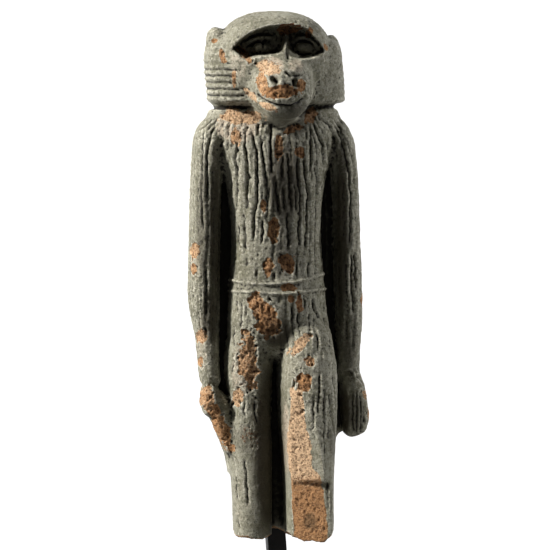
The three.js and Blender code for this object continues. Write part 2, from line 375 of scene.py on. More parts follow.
@dataclass(frozen=True)
class Loft:
    """A body of level sections, each a rounded rectangle, up an axis or forward along one."""

    name: str
    low: float
    high: float
    x: Run
    y: Run
    wide: Run
    deep: Run
    square: float = 2.2
    ends: tuple[float, float] = (1.0, 1.0)
    forward: bool = False
    segments: int = 64
    rings: int = 96

    def build(self) -> Clay:
        """Shape a ball into the body."""
        clay = Clay.ball(self.name, self.segments, self.rings)
        points = clay.points
        polar = np.arccos(np.clip(points[:, 2], -1, 1)) / pi
        place = self.low + (self.high - self.low) * (1 - polar)
        turn = np.arctan2(points[:, 1], points[:, 0])
        from_low = np.clip((place - self.low) / self.ends[0], 0, 1)
        from_high = np.clip((self.high - place) / self.ends[1], 0, 1)
        reach = np.sqrt(1 - (1 - from_low) ** 2) * np.sqrt(1 - (1 - from_high) ** 2)
        power = 2 / self.square
        side = np.sign(np.cos(turn)) * np.abs(np.cos(turn)) ** power
        ahead = np.sign(np.sin(turn)) * np.abs(np.sin(turn)) ** power
        x = self.x(place) + reach * self.wide(place) * side
        y = self.y(place) + reach * self.deep(place) * ahead
        if self.forward:
            clay.points = np.stack((x, -place, y), axis=1)
        else:
            clay.points = np.stack((x, y, place), axis=1)
        return clay


@dataclass(frozen=True)
class Egg:
    """A ball stretched to three half sizes, turned about the side-to-side axis, and placed."""

    name: str
    place: tuple[float, float, float]
    half: tuple[float, float, float]
    square: float = 2.0
    nod: float = 0.0
    roll: float = 0.0

    def build(self) -> Clay:
        """Shape a ball into the egg."""
        clay = Clay.ball(self.name, 40, 28)
        points = clay.points
        swell = np.sum(np.abs(points) ** self.square, axis=1) ** (-1 / self.square)
        points = points * swell[:, None] * np.array(self.half)
        turn = Matrix.Rotation(self.roll, 3, "Y") @ Matrix.Rotation(self.nod, 3, "X")
        clay.points = points @ np.array(turn).T + np.array(self.place)
        return clay


@dataclass(frozen=True)
class Wall:
    """A flat wall between two depths, by its outline seen from the front."""

    name: str
    outline: tuple[tuple[float, float], ...]
    front: float
    back: float

    def build(self) -> Clay:
        """Fill the outline and draw it back to its depth."""
        bpy.ops.object.select_all(action="DESELECT")
        bpy.ops.mesh.primitive_circle_add(vertices=len(self.outline), radius=1.0, fill_type="NGON")
        thing = bpy.context.object
        thing.name = self.name
        clay = Clay(thing)
        clay.points = np.array([(x, self.front, z) for x, z in self.outline])
        bpy.ops.object.mode_set(mode="EDIT")
        bpy.ops.mesh.select_all(action="SELECT")
        bpy.ops.mesh.extrude_region_move(
            TRANSFORM_OT_translate={"value": (0.0, self.back - self.front, 0.0)}
        )
        bpy.ops.mesh.select_all(action="SELECT")
        bpy.ops.mesh.normals_make_consistent(inside=False)
        bpy.ops.object.mode_set(mode="OBJECT")
        return clay


class Head:
    """Mane, cap, ears and muzzle, uncut."""

    mane_low = 69.4
    mane_top = 81.2
    crown_top = 84.5

    def mane(self) -> Clay:
        """The thick mane that frames the face and stands on the shoulders."""
        return Loft(
            "mane",
            self.mane_low,
            self.mane_top,
            x=Run((69.4, 0.4), (72, 0.3), (75, 0.0), (81.2, -0.2)),
            y=Run((69.4, 0.9), (76, 0.8), (81.2, 1.0)),
            wide=Run((69.4, 10.9), (71, 11.05), (78.4, 10.9), (80, 9.8), (81.2, 8.2)),
            deep=Run((69.4, 7.0), (73, 7.4), (77, 7.3), (80, 6.4), (81.2, 5.2)),
            square=3.0,
            ends=(0.5, 1.5),
            rings=48,
        ).build()

    def crown(self) -> Clay:
        """The smooth cap, which runs forward as a hood over the eyes."""
        middle = 77.2
        half = (9.1, 8.8, self.crown_top - middle)
        return Egg("crown", (-0.2, -0.8, middle), half, square=2.4).build()

    def ears(self) -> list[Clay]:
        """The viewer's left ear stands up whole; the right one is worn low."""
        return [
            Egg("whole_ear", (-9.5, 0.4, 80.1), (1.5, 2.4, 1.9), roll=0.2).build(),
            Egg("worn_ear", (9.2, 0.4, 78.9), (1.4, 2.2, 1.8)).build(),
        ]

    def muzzle(self) -> list[Clay]:
        """Cheeks that narrow forward to a blunt nose over a rounded chin."""
        cheeks = Loft(
            "cheeks",
            3.0,
            11.5,
            x=level(0.0),
            y=Run((3, 74), (7, 73.6), (9, 72.8), (11.5, 72.0)),
            wide=Run((3, 6.6), (6, 5.8), (9, 4.8), (11.5, 3.9)),
            deep=Run((3, 6.6), (6, 6.2), (9, 5.4), (11.5, 4.3)),
            ends=(0.5, 2.0),
            forward=True,
            rings=32,
        ).build()
        nose = Egg("nose", (0.0, -9.6, 71.9), (4.1, 4.0, 4.7), square=2.4).build()
        return [cheeks, nose]

    def build(self) -> list[Clay]:
        """Every mass of the head."""
        return [self.mane(), self.crown(), *self.ears(), *self.muzzle()]


class Trunk:
    """Chest, belly, belt, the webs beside the body and the pillar behind it."""

    belt_z = 40.7
    shoulder_z = 66.3
    hand_z = 15.8

    def torso(self) -> Clay:
        """Chest, waist and hips in one."""
        return Loft(
            "torso",
            28.0,
            69.8,
            x=Run((28, 0.9), (38, 0.4), (49, 0.3), (60, 0.0), (66, -0.2), (70, -0.1)),
            y=Run((25, 0.2), (38, -0.4), (49, -0.1), (60, -0.4), (67, 0.0), (70, 0.6)),
            wide=Run((28, 7.4), (31, 8.3), (38, 7.8), (42, 7.5), (49, 7.2), (54, 7.5),
                     (58, 8.2), (61, 9.1), (64, 10.0), (66.3, 10.8), (68.2, 10.6), (69.8, 9.4)),
            deep=Run((28, 3.6), (31, 5.2), (34, 6.0), (38, 6.2), (42, 5.7), (49, 5.8),
                     (58, 6.4), (64, 6.0), (68, 4.9), (69.8, 4.2)),
            square=2.4,
            ends=(2.5, 0.5),
        ).build()

    def web(self) -> Clay:
        """The wall that closes the gaps between body and arms, with a curve under each hand."""
        top = self.shoulder_z
        right_curve = [(12.0 - 3.0 * sin(t), self.hand_z + 1.0 - 6.8 * (1 - cos(t)))
                       for t in np.linspace(0, pi / 2, 6)]
        left = [(-7.0, 10.0), (-7.5, 13.0), (-8.2, 14.6), (-9.8, 22.0), (-10.6, 34.0),
                (-11.0, top - 6), (-9.0, top)]
        outline = [*left, (9.0, top), (11.0, top - 6), (11.6, 34.0), *right_curve]
        return Wall("web", tuple(outline), 1.6, 4.8).build()

    def pillar(self) -> Clay:
        """The plain pillar up the back, as high as the mane."""
        return Loft(
            "pillar",
            -2.0,
            72.4,
            x=level(0.0),
            y=level(4.6),
            wide=level(4.5),
            deep=level(3.4),
            square=7.0,
            ends=(0.3, 0.3),
        ).build()

    def build(self) -> list[Clay]:
        """Every mass of the trunk."""
        return [self.torso(), self.web(), self.pillar()]


@dataclass(frozen=True)
class Arm:
    """An arm that hangs at the side, thin at the wrist."""

    side: int
    centre: Run
    half: Run

    def build(self) -> Clay:
        """The arm from shoulder to wrist."""
        x = Run(*zip(self.centre.places, self.side * self.centre.values))
        return Loft(
            "arm",
            24.0,
            67.7,
            x=x,
            y=Run((24, 0.6), (40, 0.9), (60, 0.9), (67, 0.6)),
            wide=self.half,
            deep=Run((24, 2.6), (30, 3.0), (40, 3.6), (56, 4.0), (63, 4.7), (66, 4.0), (67.6, 2.4)),
            ends=(2.0, 4.6),
        ).build()


class Arms:
    """Both arms with what is left of the hands."""

    def broken(self) -> list[Clay]:
        """Viewer's left arm, its knuckle and the long scar of the lost hand."""
        arm = Arm(
            -1,
            centre=Run((24, 10.1), (27, 10.5), (32, 10.8), (38, 11.3), (48, 11.2), (56, 11.0),
                       (63, 10.6), (67, 10.2)),
            half=Run((24, 1.9), (27, 1.7), (32, 1.9), (38, 2.5), (48, 2.5), (67, 2.5)),
        ).build()
        knuckle = Egg("knuckle", (-10.5, -0.2, 22.4), (1.7, 2.4, 3.0)).build()
        scar = Loft(
            "scar",
            13.4,
            24.0,
            x=Run((13.6, -7.3), (18, -8.4), (21, -9.3), (24, -9.6)),
            y=level(0.4),
            wide=Run((13.6, 0.5), (15, 0.9), (18, 1.5), (21, 1.8), (24, 1.6)),
            deep=Run((13.6, 1.8), (18, 2.4), (24, 2.6)),
            square=3.5,
            ends=(0.5, 2.0),
            rings=32,
        ).build()
        return [arm, knuckle, scar]

    def whole(self) -> list[Clay]:
        """Viewer's right arm with its flat hand, the fingers straight down."""
        arm = Arm(
            1,
            centre=Run((24, 12.1), (27, 12.1), (34, 12.3), (40, 12.1), (48, 11.9), (56, 11.6),
                       (63, 10.8), (67, 9.9)),
            half=Run((24, 1.9), (30, 1.9), (38, 2.3), (48, 2.2), (56, 2.2), (67, 2.4)),
        ).build()
        hand = Loft(
            "hand",
            15.8,
            27.6,
            x=Run((15.8, 12.7), (18, 13.2), (22, 12.9), (27.6, 12.2)),
            y=level(-0.2),
            wide=Run((15.8, 1.3), (17, 1.9), (19, 2.2), (22, 2.2), (25, 1.9), (27.6, 1.3)),
            deep=Run((15.8, 1.6), (17, 2.4), (20, 2.9), (25, 2.8), (27.6, 2)),
            ends=(1.2, 2.0),
            rings=40,
        ).build()
        return [arm, hand]

    def build(self) -> list[Clay]:
        """Every mass of both arms."""
        return [*self.broken(), *self.whole()]


class Legs:
    """The standing leg and the forward leg, both running past the break."""

    def standing(self) -> Clay:
        """Viewer's left leg."""
        return Loft(
            "standing_leg",
            -2.0,
            36.0,
            x=Run((0, -3.5), (10, -3.7), (20, -3.9), (28, -4.2), (36, -3.6)),
            y=level(0.4),
            wide=Run((0, 3.0), (6, 3.1), (14, 3.3), (19, 3.2), (28, 3.8), (36, 3.4)),
            deep=Run((0, 4.2), (10, 4.3), (20, 4.8), (28, 5.4), (36, 5.4)),
            square=2.6,
            ends=(0.3, 4.0),
        ).build()

    def forward(self) -> Clay:
        """Viewer's right leg with the wall of material behind it."""
        return Loft(
            "forward_leg",
            -2.0,
            38.0,
            x=Run((0, 5.1), (10, 5.0), (20, 4.9), (28, 4.9), (37, 4.4)),
            y=Run((0, -3.4), (10, -3.2), (20, -2.8), (28, -1.9), (37, 0)),
            wide=Run((0, 3.6), (10, 3.8), (20, 4.5), (28, 4.6), (37, 3.6)),
            deep=Run((0, 8.4), (10, 8.2), (20, 7.6), (28, 6.9), (37, 5.6)),
            square=2.6,
            ends=(0.3, 5.0),
        ).build()

    def build(self) -> list[Clay]:
        """Both legs."""
        return [self.standing(), self.forward()]


def shave(points: Array, place: tuple[float, ...], outward: tuple[float, ...], where: Array) -> None:
    """Cut points back to a plane, as a flat break does.

    Args:
        points: the points, changed in place.
        place: a point of the plane.
        outward: the direction of the material that is lost.
        where: 0 to 1 for each point, how fully the break reaches it.
    """
    direction = np.array(outward) / np.linalg.norm(outward)
    beyond = np.maximum((points - np.array(place)) @ direction, 0)
    points -= (beyond * where)[:, None] * direction


class Face:
    """The face, pushed and pulled along the line of sight. Depths are millimetres towards the eye."""

    behind_face = 2.6
    rim = Run((232, 49), (235, 46), (240, 40.5), (246, 36), (253, 32), (262, 28.5), (270, 26.5),
              (284, 25), (297, 26), (306, 29), (313, 35), (319, 42), (323, 48), (326, 55))
    cheek_top = Run((234, 48), (240, 52), (248, 56), (255, 55), (262, 54), (270, 53.5), (278, 52.5),
                    (284, 50), (290, 54), (297, 57), (306, 58), (314, 56.5), (323, 52))
    profile = Run((48, 5.2), (54, 6.6), (60, 8.3), (67, 9.9), (73, 10.9), (80, 11.5), (90, 11.6),
                  (97, 11.2), (103, 10.3), (108, 10.5), (113, 10.3), (118, 9.5), (122, 8.2), (125.5, 6))
    across = Run((-52, -0.1), (-44, 0.03), (-35, 0.26), (-26, 0.66), (-20, 0.85), (-12, 0.96),
                 (0, 1.0), (12, 0.97), (19, 0.86), (24, 0.62), (28, 0.3), (31, 0), (36, -0.2))
    spread = Run((50, 1.05), (70, 1.0), (85, 0.95), (98, 0.87), (108, 0.78), (115, 0.66), (120, 0.5),
                 (124, 0.3), (126, 0.15))
    middle = Run((50, 285), (90, 284), (110, 283), (125, 282))
    bridge_height = Run((26, 4.6), (32, 5.0), (40, 6.0), (48, 7.0), (56, 8.3), (64, 9.5), (72, 10.6))
    bridge_half = Run((28, 2.6), (38, 3.6), (46, 5.5), (52, 9.0), (58, 14), (66, 22))
    cheek_plane = 3.2
    socket_floor = 3.0
    eyes = ((262.0, 47.0, 10.5, 5.0), (303.5, 47.0, 9.5, 5.5))

    def shape(self, clay: Clay) -> None:
        """Raise the muzzle and the nose, and sink the eyes under the hood."""
        points = clay.points
        sight = np.array(SIGHT.outward)
        facing = clay.normals @ sight
        depth = (points - np.array(SIGHT.target)) @ sight
        u, v = SIGHT.picture(points)
        near = (depth > self.behind_face) & (facing > 0.05) & (u > 230) & (u < 328) & (v > 22) & (v < 127)
        finished = self.depth(u, v, depth)
        points += np.where(near, finished - depth, 0)[:, None] * sight
        clay.points = points

    def depth(self, u: Array, v: Array, held: Array) -> Array:
        """The finished depth at each picture place.

        Args:
            u: pixels from the left edge.
            v: pixels from the top edge.
            held: the depth of the uncut head there.
        """
        muzzle = self.cheek_plane + (self.profile(v) - self.cheek_plane) * self.across(
            (u - self.middle(v)) / self.spread(v))
        muzzle = np.where(v > 46, muzzle, 0)
        depth = self._join(held, muzzle, 0.5)
        left = rise(u, 284, 276)
        soft = 1.6 + 3.0 * rise(u, 256, 244)
        inside = rise(v, self.rim(u) - 0.6, self.rim(u) + 1.6)
        inside = inside * rise(v, self.cheek_top(u) + soft, self.cheek_top(u) - soft)
        floor = self.socket_floor + 1.0 * rise(v, 34, 26) + 0.6 * (1 - left) * rise(u, 300, 316)
        for across, down, half_across, half_down in self.eyes:
            ball = 1 - ((u - across) / half_across) ** 2 - ((v - down) / half_down) ** 2
            floor = floor + 1.5 * np.sqrt(np.maximum(ball, 0))
        sunk = np.minimum(depth, floor)
        depth = depth + (sunk - depth) * inside
        from_ridge = np.abs(u - 286.0 + 0.02 * (v - 40)) / self.bridge_half(v)
        bridge = self.bridge_height(v) - 3.4 * from_ridge**1.4
        bridge = np.where((v > 27) & (v < 74), bridge, 0)
        return self._join(depth, bridge, 0.3)

    def _join(self, first: Array, second: Array, soft: float) -> Array:
        """The larger of two depths, with the crease between them filled a little."""
        near = np.maximum(soft - np.abs(first - second), 0) / soft
        return np.maximum(first, second) + 0.25 * soft * near**2


class Cuts:
    """The larger hollows and breaks, made before the fine carving."""

    def shin(self, points: Array) -> None:
        """The two flat breaks down the front of the forward leg."""
        x, _, z = points.T
        leg = rise(x, -0.2, 0.6) * rise(z, 27.0, 25.6)
        shave(points, (3.2, -9.3, 16.6), (-0.565, -0.824, -0.05), leg)
        shave(points, (4.4, -9.1, 3.4), (-0.408, -0.912, 0.04), leg * rise(z, 9.9, 9.2))

    def underside(self, points: Array, grain: Grain) -> None:
        """The rolling break under both legs, and the hole that the bar goes up into."""
        x, y, z = points.T
        leg_to_leg = 8.6
        under_leg = -3.8
        across = 0.5 - 0.5 * np.cos(2 * pi * (x - under_leg) / leg_to_leg)
        climb = 0.42 * np.maximum(x - 6.4, 0)
        rough = 0.25 * grain(points * (1, 1, 0), 1.6, 2)
        height = np.maximum(np.minimum(across, 1) + climb + 0.2 * np.sin(0.8 * y) + rough, 0)
        points[:, 2] = np.maximum(z, height)
        half = STAND.bar_width / 2 + STAND.clearance
        from_bar = np.maximum(np.abs(x - STAND.bar_x), np.abs(y - STAND.bar_y))
        low = rise(points[:, 2], 2.2, 1.9)
        lifted = (STAND.bar_in_figure + STAND.clearance) * rise(from_bar, half + 0.05, half - 0.05) * low
        points[:, 0] += -lifted * sin(STAND.lean)
        points[:, 2] += lifted * cos(STAND.lean)


@dataclass(frozen=True)
class Patch:
    """A worn or broken place, as an oval in the picture: its middle, half sizes and turn."""

    across: float
    down: float
    half_across: float
    half_down: float
    turn: float = 0.0
    depth: float = 0.14
    tone: float = 0.5
    strength: float = 1.0

    def share(self, u: Array, v: Array) -> Array:
        """How far each picture place is inside: 1 at the middle, 0 at the rim, negative outside."""
        angle = radians(self.turn)
        du, dv = u - self.across, v - self.down
        along = du * cos(angle) + dv * sin(angle)
        aside = dv * cos(angle) - du * sin(angle)
        far = np.hypot(along / self.half_across, aside / self.half_down)
        return 1 - far


PATCHES = (
    # Ear and mane.
    Patch(214.5, 40.5, 3.5, 3.0, tone=0.6),
    Patch(223, 57, 3.0, 8.0, turn=-20, tone=0.5, depth=0.08),
    Patch(234, 78, 2.5, 9.0, tone=0.4, depth=0.05, strength=0.8),
    # Cheek strip, nose, mouth and jaw.
    Patch(243.5, 54, 12.0, 4.2, turn=42, tone=0.45, depth=0.2),
    Patch(268, 68, 15.0, 8.5, turn=8, tone=0.15, depth=0.06, strength=0.6),
    Patch(262, 83, 5.5, 14.0, turn=-12, tone=0.45),
    Patch(281, 92.5, 20.0, 7.5, tone=0.7, depth=0.2),
    Patch(301, 85, 5.0, 9.0, tone=0.6),
    Patch(250, 94, 11.0, 4.0, turn=35, tone=0.2, depth=0.06, strength=0.6),
    Patch(268, 106, 12.0, 3.2, turn=22, tone=0.15, depth=0.04),
    Patch(289, 29.5, 13.0, 6.0, tone=0.95, depth=0.02),
    Patch(309, 33, 3.5, 5.0, turn=30, tone=0.8, depth=0.05),
    Patch(325.5, 47, 2.2, 4.5, turn=-20, tone=0.6, depth=0.05),
    Patch(293, 129, 12.0, 4.5, turn=-14, tone=0.65, depth=0.15),
    Patch(311, 115, 9.5, 6.0, turn=-58, tone=0.55, depth=0.15),
    # Shoulder and chest.
    Patch(240, 117, 27.0, 8.5, turn=6, tone=0.25, depth=0.06, strength=0.85),
    Patch(236, 137, 7.0, 10.0, tone=0.35, depth=0.06, strength=0.7),
    Patch(279, 147, 5.0, 14.0, tone=0.75),
    Patch(300, 152, 5.5, 6.5, tone=0.75),
    Patch(263, 206, 3.6, 6.0, tone=0.55),
    Patch(273.5, 230, 7.0, 13.5, tone=0.6, depth=0.22),
    Patch(268, 266, 5.5, 11.0, tone=0.6),
    Patch(288, 263, 9.5, 11.0, tone=0.7, depth=0.2),
    Patch(224, 205, 3.0, 6.0, tone=0.8, depth=0.05),
    # Viewer's left arm and its broken hand.
    Patch(194.5, 251, 5.8, 9.5, tone=0.35, depth=0.25),
    Patch(194, 269, 3.6, 6.0, tone=0.45, depth=0.2),
    Patch(201.5, 336, 6.0, 9.5, tone=0.35, depth=0.25),
    Patch(200.5, 362, 2.6, 5.5, tone=0.45),
    Patch(206, 398, 9.0, 14.0, turn=-12, tone=0.4, depth=0.2),
    Patch(221, 427, 9.0, 29.0, turn=-24, tone=0.55, depth=0.1),
    # Belt and belly.
    Patch(288, 287.5, 10.0, 4.6, tone=0.65, depth=0.15),
    Patch(257, 304, 9.5, 12.5, turn=-15, tone=0.5, depth=0.25),
    Patch(268, 320, 13.0, 19.0, turn=-12, tone=0.6, depth=0.25),
    Patch(267, 338, 3.5, 3.5, tone=0.5),
    Patch(290.5, 298.5, 3.0, 4.5, tone=0.7),
    Patch(300, 304, 3.8, 10.0, turn=-8, tone=0.75),
    # Thighs.
    Patch(248, 362, 10.5, 30.0, turn=-4, tone=0.4, depth=0.25),
    Patch(238, 397, 7.0, 9.5, tone=0.3, depth=0.2, strength=0.8),
    Patch(300, 344, 15.0, 5.8, turn=-45, tone=0.25, depth=0.12),
    Patch(309, 361, 5.8, 6.5, tone=0.45, depth=0.2),
    Patch(304, 382, 9.0, 12.0, tone=0.65, depth=0.3),
    Patch(250, 436, 11.0, 13.0, tone=0.8, depth=0.06, strength=0.45),
    # Viewer's right arm and hand.
    Patch(363.5, 300, 3.2, 10.0, tone=0.4, depth=0.2),
    Patch(365, 394, 3.0, 5.0, tone=0.4),
    Patch(370, 414, 2.6, 15.0, turn=-3, tone=0.4),
)


# Soft places on the front where shade is painted into the glaze colour.
PAINTED_SHADE_ZONES = (
    # Painted shade, darkening the glaze where shade falls: the hollow of the chest between the muzzle and the
    # belt, and the sides that face the arms.
    Patch(284, 180, 26, 62, strength=0.75),
    Patch(282, 245, 22, 45, strength=0.45),
    Patch(278, 333, 20, 20, strength=0.9),
    Patch(215, 235, 9, 110, strength=0.8),
    Patch(341, 240, 9, 125, strength=0.8),
    Patch(270, 450, 21, 120, strength=1.0),
    Patch(210, 315, 12, 45, strength=0.8),
    Patch(203, 225, 10, 95, strength=0.5),
    Patch(344, 413, 8, 34, strength=1.0),
    Patch(334, 440, 7, 30, strength=0.5),
    Patch(356, 412, 14, 30, strength=0.5),
    Patch(350, 345, 14, 45, strength=0.5),
    # Painted shade under the chin and in the sockets.
    Patch(300, 118, 30, 22, turn=-20, strength=0.6),
    Patch(290, 46, 44, 16, strength=0.4),
    Patch(310, 522, 9, 12, strength=0.9),
    Patch(243, 440, 14, 22, strength=0.4),
)
PALE_WEAR_AND_PAINTED_LIGHT = (
    # Places where the glaze has gone pale and pinkish without breaking, and places on the lit left side made
    # paler as painted light.
    Patch(238, 126, 34, 24, strength=0.9),
    Patch(272, 66, 18, 14, strength=0.9),
    Patch(296, 66, 14, 12, strength=0.6),
    Patch(238, 62, 14, 34, turn=-10, strength=0.5),
    Patch(242, 370, 18, 46, strength=0.6),
    Patch(242, 500, 16, 40, strength=0.4),
    Patch(196, 262, 10, 30, strength=0.5),
    Patch(202, 345, 10, 50, strength=0.5),
    Patch(286, 440, 8, 60, strength=0.7),
)


@dataclass(frozen=True)
class Groove:
    """A cut line through places in the picture, or a raised one if its depth is negative."""

    places: tuple[tuple[float, float], ...]
    depth: float = 0.42
    half_width: float = 1.3

    def cut(self, u: Array, v: Array) -> Array:
        """How deep the line is cut at each picture place, in millimetres."""
        reach = 3 * self.half_width
        across = [place[0] for place in self.places]
        down = [place[1] for place in self.places]
        near = (u > min(across) - reach) & (u < max(across) + reach)
        near &= (v > min(down) - reach) & (v < max(down) + reach)
        here_u, here_v = u[near], v[near]
        nearest = np.full(len(here_u), reach)
        from_ends = np.minimum(np.hypot(here_u - across[0], here_v - down[0]),
                               np.hypot(here_u - across[-1], here_v - down[-1]))
        length = sum(np.hypot(b[0] - a[0], b[1] - a[1]) for a, b in zip(self.places, self.places[1:]))
        taper = rise(from_ends, -2.0, min(5.0, 0.4 * length))
        for (u0, v0), (u1, v1) in zip(self.places, self.places[1:]):
            run_u, run_v = u1 - u0, v1 - v0
            t = ((here_u - u0) * run_u + (here_v - v0) * run_v) / (run_u**2 + run_v**2)
            t = np.clip(t, 0, 1)
            away = np.hypot(here_u - u0 - t * run_u, here_v - v0 - t * run_v)
            nearest = np.minimum(nearest, away)
        depth = np.zeros(len(u))
        depth[near] = self.depth * taper * np.exp(-((nearest / self.half_width) ** 2))
        return depth


def cuts(depth: float, half_width: float, *lines: tuple[tuple[float, float], ...]) -> list[Groove]:
    """Several grooves of one depth and width."""
    return [Groove(line, depth, half_width) for line in lines]


GROOVES = (
    # The long hair of the chest, from the viewer's left to right.
    *cuts(0.5, 1.35,
          ((236.4, 140), (236.4, 150), (234.8, 160), (236.4, 171)),
          ((245.5, 132), (245, 144), (246.8, 157), (248.4, 178), (246.8, 190), (247.2, 202), (246.5, 210)),
          ((252.5, 132), (254, 142), (256.6, 150), (257.4, 163), (258, 182), (257, 200), (254.2, 215),
           (253.5, 228), (254, 240)),
          ((258.6, 123), (258.6, 135)),
          ((261.8, 140), (262.4, 151), (264.4, 165), (266.2, 182), (267, 197), (267.4, 211)),
          ((271, 123), (271.2, 132), (270.5, 146), (271.8, 160), (272.3, 174)),
          ((276, 180), (276.4, 190), (278, 201), (279.3, 213)),
          ((286.8, 152), (288.2, 163), (289, 180), (290.5, 196), (290.8, 210)),
          ((287, 214), (287.6, 226), (288.6, 239), (288, 248)),
          ((296.8, 160), (298, 178), (300.6, 196), (300.4, 209), (299, 224), (299, 236), (300, 248)),
          ((304, 161), (306.4, 176), (308.2, 198), (307.4, 214), (306.6, 231), (305.5, 248)),
          ((262, 219), (262.4, 232), (262, 244)),
          ((242.6, 212), (243.6, 223), (244.3, 236), (244.3, 252))),
    # Shallower hair towards the edges of the chest.
    *cuts(0.3, 1.3,
          ((282.4, 148), (281.8, 167), (282.6, 180)),
          ((311, 128), (311, 141), (311, 161), (312.7, 183)),
          ((314.5, 159), (315.6, 174)),
          ((318.2, 175), (317.8, 197)),
          ((322.3, 140), (323.2, 151), (325.2, 166)),
          ((292, 134), (288, 128)),
          ((246.6, 256), (246, 268)),
          ((296.5, 262), (296, 276)),
          ((300.5, 260), (300, 270)),
          ((308, 262), (308, 276)),
          ((258, 268), (256, 279)),
          ((275, 270), (274, 281)),
          ((250, 172), (250.5, 196)),
          ((283.5, 186), (284.5, 212)),
          ((294.5, 182), (296.5, 212)),
          ((238.5, 224), (238.5, 246))),
    # Short strokes on the worn shoulders.
    *cuts(0.3, 1.2,
          ((216.6, 116), (215, 122), (212, 131)),
          ((224, 119), (221, 128)),
          ((229.6, 123), (227, 131), (227, 138)),
          ((236.6, 116), (235.4, 121)),
          ((247.6, 121), (246.6, 128)),
          ((221.6, 138), (222, 146)),
          ((227.6, 142), (227, 149)),
          ((240, 130), (239, 138)),
          ((232.6, 150), (233, 162)),
          ((321.8, 119), (329, 125), (333, 133), (333.6, 143)),
          ((314, 123), (318, 135), (322, 144)),
          ((336, 119), (341, 130), (344, 145)),
          ((328, 140), (329.5, 152)),
          ((307, 130), (306, 142))),
    # The arms.
    *cuts(0.42, 1.3,
          ((203, 131), (201.6, 141), (202.2, 158), (201, 185), (201.6, 209), (202.8, 231)),
          ((213.6, 128), (209.5, 138), (207.4, 152), (207, 176), (207.4, 200)),
          ((206.2, 268), (206.2, 290), (207, 318)),
          ((337, 128), (341, 142), (346, 158), (349.2, 172), (350.8, 200), (350.4, 225), (350, 244)),
          ((352, 252), (351.5, 285), (353, 316)),
          ((355.5, 252), (355.6, 290))),
    *cuts(0.2, 1.2,
          ((197, 150), (196.6, 180), (197, 236)),
          ((212.6, 168), (213, 230)),
          ((344, 134), (350, 148), (354.6, 164), (355.4, 190)),
          ((342.5, 180), (343.5, 240)),
          ((346, 262), (346.5, 300), (348.5, 320)),
          ((200.6, 280), (202, 318)),
          ((352, 322), (353, 350)),
          ((346, 320), (347, 345))),
    # Hips and thighs.
    *cuts(0.3, 1.3,
          ((235.8, 299), (235.6, 312)),
          ((245.4, 304), (245, 319)),
          ((240.5, 300), (240, 330)),
          ((233, 327), (233.4, 348)),
          ((232.5, 355), (231.5, 376)),
          ((303.8, 294), (305, 313)),
          ((311.8, 299), (314.6, 309), (319.6, 320)),
          ((324.6, 303), (324.4, 311)),
          ((323.6, 316), (328, 330)),
          ((292.5, 306), (292, 322)),
          ((297.4, 312), (299, 326)),
          ((330, 332), (331.5, 350)),
          ((318, 333), (317.6, 352)),
          ((319.5, 372), (319, 396), (317.6, 414)),
          ((325, 386), (323.5, 420), (325.4, 456)),
          ((330.6, 392), (329, 440)),
          ((334.5, 360), (334.5, 386)),
          ((313.6, 398), (312.6, 432)),
          ((327, 480), (328, 512))),
    # The standing leg.
    *cuts(0.32, 1.2,
          ((230.4, 456), (233, 463), (235.6, 480), (237, 501)),
          ((243, 458), (245.2, 468), (247.4, 488), (247.6, 506)),
          ((243.6, 392), (244.4, 402), (243.4, 417)),
          ((254, 400), (255, 412), (257, 426)),
          ((234.2, 408), (234, 421)),
          ((237, 518), (238.6, 531))),
    # Fingers.
    *cuts(0.5, 1.35,
          ((352.6, 392), (352.6, 433)),
          ((356.6, 390), (357, 436)),
          ((361, 394), (361.6, 434)),
          ((364.8, 404), (365.6, 427))),
    # Hand and wrist of the viewer's right arm.
    *cuts(-0.3, 1.4, ((342, 370.5), (351, 369.5), (354, 375), (357.5, 380))),
)

FACE_LINES = (
    # Mouth, the worn lip under it with its small slanting cuts, and the jaw.
    Groove(((255, 93), (260, 98), (268, 103), (279, 106), (290, 106.5), (299, 103), (305, 97)), 0.55, 1.5),
    Groove(((254, 98), (262, 104.5), (271, 108.5), (279, 109.5)), -0.4, 2.2),
    *[Groove(((256 + 3.2 * i, 99 + 1.7 * i), (258 + 3.2 * i, 104.5 + 1.2 * i)), 0.22, 0.9) for i in range(7)],
    Groove(((283, 108), (290, 108.5)), 0.4, 2.8),
    Groove(((302, 106), (308, 100), (312, 91)), -0.25, 2.0),
    # Nostrils with their rims, the broken edge over the right one, and the ridge between them.
    Groove(((272.6, 78.5), (275.6, 80.6)), 1.5, 2.5),
    Groove(((275.5, 82), (279, 88)), 0.5, 1.2),
    Groove(((268, 77), (272, 74.6), (278, 76.4)), -0.25, 1.4),
    Groove(((291, 74.4), (302.4, 74.6)), 0.7, 1.3),
    Groove(((295.6, 80), (296, 84)), 1.5, 2.9),
    Groove(((281.6, 77), (281.6, 84), (283, 92)), -0.3, 1.5),
    Groove(((286, 72), (290.6, 76)), 0.4, 1.3),
    # Lids.
    Groove(((245, 44.5), (250, 41), (257, 38), (265, 37), (273, 38.6)), -0.9, 1.9),
    Groove(((247, 46.6), (256, 43.2), (265, 42.4)), 0.6, 1.2),
    Groove(((257, 46.4), (262.6, 46)), -0.5, 2.2),
    Groove(((262.8, 43), (263.4, 49)), 0.5, 1.1),
    Groove(((294, 41.6), (299, 38.4), (306, 37.6), (313, 41), (318, 47)), -0.8, 2.0),
    Groove(((299, 46), (302.6, 46.6)), -0.5, 2.0),
    Groove(((291, 53), (297, 56.4), (306, 57.6), (314, 55.6)), -0.3, 1.6),
    # The notch beside the bridge of the nose.
    Groove(((287.6, 46), (287.8, 60)), 0.4, 1.4),
)


def strokes(phase: Array, sharp: float = 0.2) -> Array:
    """1 in a groove at each whole number of the phase, 0 on the ridges between."""
    near = np.abs(phase - np.round(phase))
    return np.exp(-((near / sharp) ** 2))


